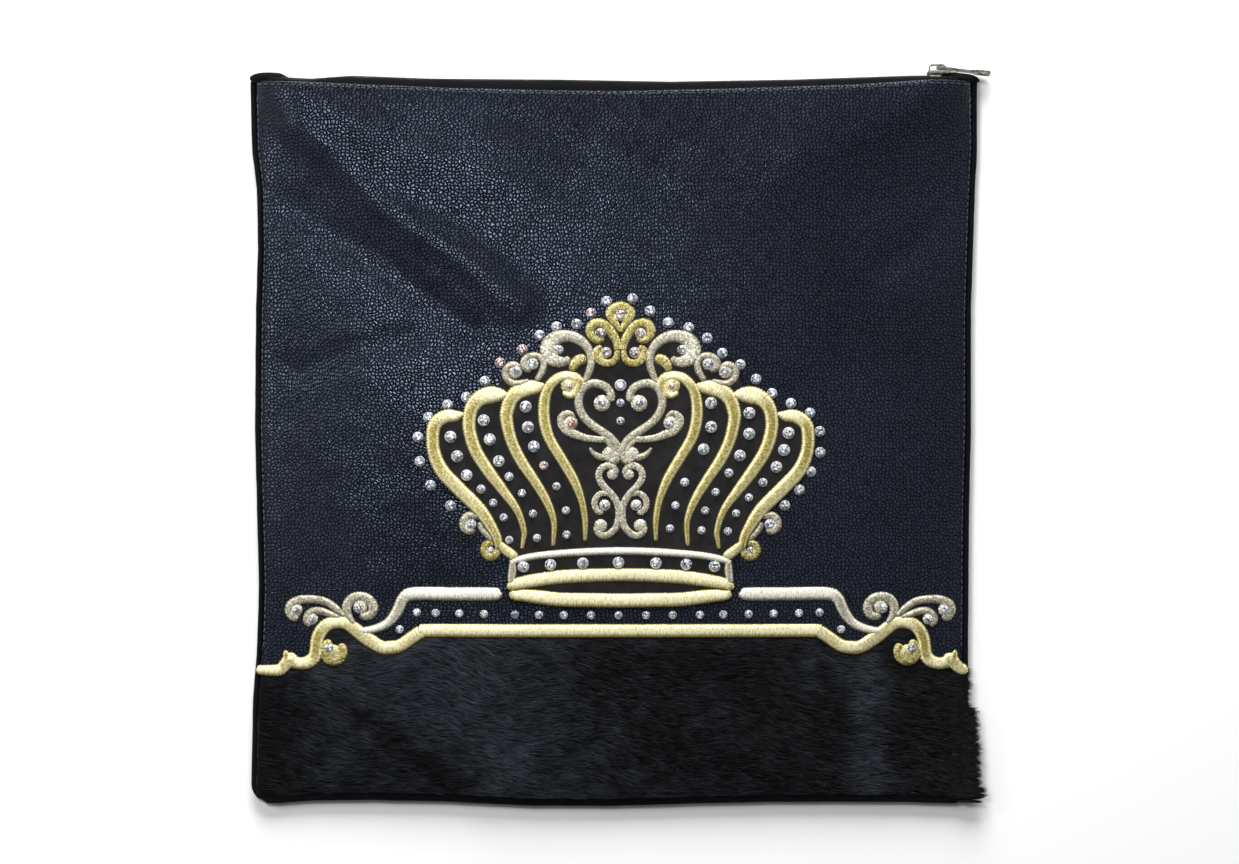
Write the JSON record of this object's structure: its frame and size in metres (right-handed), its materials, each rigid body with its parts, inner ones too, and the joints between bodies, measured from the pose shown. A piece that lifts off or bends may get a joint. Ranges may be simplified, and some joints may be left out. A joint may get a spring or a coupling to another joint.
{
  "type": "zippered fabric bag",
  "caption": "Flat zipped bag for a prayer shawl and tefillin: dark leather over a short hair-hide panel, with an embroidered crown and border set with cut stones.",
  "frame": {"origin": "centre of the bag's bounding box in X and Y, on the plane the back panel rests on", "axes": "+X to the viewer's right across the decorated face, +Y towards the zip, +Z out of the decorated face"},
  "size_m": [0.3706, 0.3717, 0.0289],
  "materials": {
    "leather": "pebbled, satin",
    "back_leather": "smooth, satin",
    "fur": "short hair",
    "suede": "matt",
    "gold_thread": "metallic satin stitch, with cut stones on the parts that carry them",
    "silver_thread": "metallic satin stitch",
    "zip_tape": "woven, matt",
    "nylon": "satin",
    "nickel": "antique nickel plate"
  },
  "bodies": {
    "bag": {"back_panel": "back_leather", "crown_ground": "suede", "edge_piping": "back_leather", "front_panel": "leather", "fur_panel": "fur", "gold_band_lens": "gold_thread", "gold_border": "gold_thread", "gold_corner_curl_left": "gold_thread", "gold_corner_curl_right": "gold_thread", "gold_rib_left_1": "gold_thread", "gold_rib_left_2": "gold_thread", "gold_rib_left_3": "gold_thread", "gold_rib_left_4": "gold_thread", "gold_rib_right_1": "gold_thread", "gold_rib_right_2": "gold_thread", "gold_rib_right_3": "gold_thread", "gold_rib_right_4": "gold_thread", "gold_side_curl_left": "gold_thread", "gold_side_curl_right": "gold_thread", "gold_top_scrolls": "gold_thread", "silver_band_line": "silver_thread", "silver_bar_left": "silver_thread", "silver_bar_right": "silver_thread", "silver_c_scroll_left": "silver_thread", "silver_c_scroll_right": "silver_thread", "silver_centre_scrolls": "silver_thread", "silver_corner_c_left": "silver_thread", "silver_corner_c_right": "silver_thread", "silver_leaf_scroll_left": "silver_thread", "silver_leaf_scroll_right": "silver_thread", "silver_ring_scroll_left": "silver_thread", "silver_ring_scroll_right": "silver_thread", "silver_side_scroll_left": "silver_thread", "silver_side_scroll_right": "silver_thread", "silver_small_ring_left": "silver_thread", "silver_small_ring_right": "silver_thread", "silver_small_scroll_left": "silver_thread", "silver_small_scroll_right": "silver_thread", "zip_chain": "nylon", "zip_slider": "nickel", "zip_tape_back": "zip_tape", "zip_tape_front": "zip_tape"},
    "pull": {"zip_pull": "nickel"}
  },
  "joints": [
    {"name": "pull_swing", "type": "hinge", "parent": "bag", "child": "pull", "pos_m": [0.159, 0.1849, 0.0071], "axis": [0, 0.0872, 0.9962], "range_deg": [0, 170]}
  ]
}
